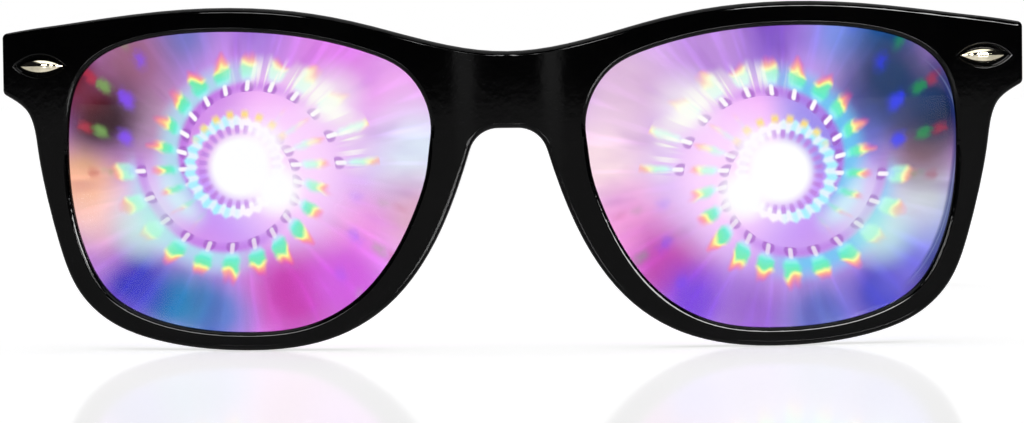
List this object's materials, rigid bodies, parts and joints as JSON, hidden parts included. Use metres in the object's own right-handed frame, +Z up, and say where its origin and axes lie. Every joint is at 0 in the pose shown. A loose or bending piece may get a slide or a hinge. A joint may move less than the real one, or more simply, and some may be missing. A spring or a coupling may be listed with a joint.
{
  "type": "diffraction glasses",
  "caption": "Glossy black horn-rimmed glasses with light-splitting film behind curved lenses, almond corner studs and folding temples.",
  "frame": {"origin": "middle of the footprint on the surface that the open glasses stand on, at the underside of the lower rims and the temple tips", "axes": "+X to the wearer's left, +Y back along the temples and away from the front's face, +Z up"},
  "size_m": [0.1456, 0.1546, 0.0484],
  "materials": {
    "frame_plastic": "polished black injection moulding",
    "temple_plastic": "polished black injection moulding",
    "lens_plastic": "clear polished lens",
    "grating_film": "embossed grating that splits light into spiral rainbow rings",
    "stud_chrome": "polished plating",
    "hinge_metal": "plated spring steel",
    "screw_steel": "turned steel"
  },
  "bodies": {
    "front": {"front_frame": "frame_plastic", "left_lens": "lens_plastic", "right_lens": "lens_plastic", "left_film": "grating_film", "right_film": "grating_film", "left_stud": "stud_chrome", "right_stud": "stud_chrome", "left_front_hinge": "hinge_metal", "right_front_hinge": "hinge_metal", "left_hinge_screw": "screw_steel", "right_hinge_screw": "screw_steel"},
    "left_arm": {"left_temple": "temple_plastic", "left_temple_hinge": "hinge_metal"},
    "right_arm": {"right_temple": "temple_plastic", "right_temple_hinge": "hinge_metal"}
  },
  "joints": [
    {"name": "left_temple_fold", "type": "hinge", "parent": "front", "child": "left_arm", "pos_m": [0.06825, -0.05846, 0.04089], "axis": [0, 0, 1], "range_deg": [0, 90]},
    {"name": "right_temple_fold", "type": "hinge", "parent": "front", "child": "right_arm", "pos_m": [-0.06825, -0.05846, 0.04089], "axis": [0, 0, -1], "range_deg": [0, 84]}
  ]
}
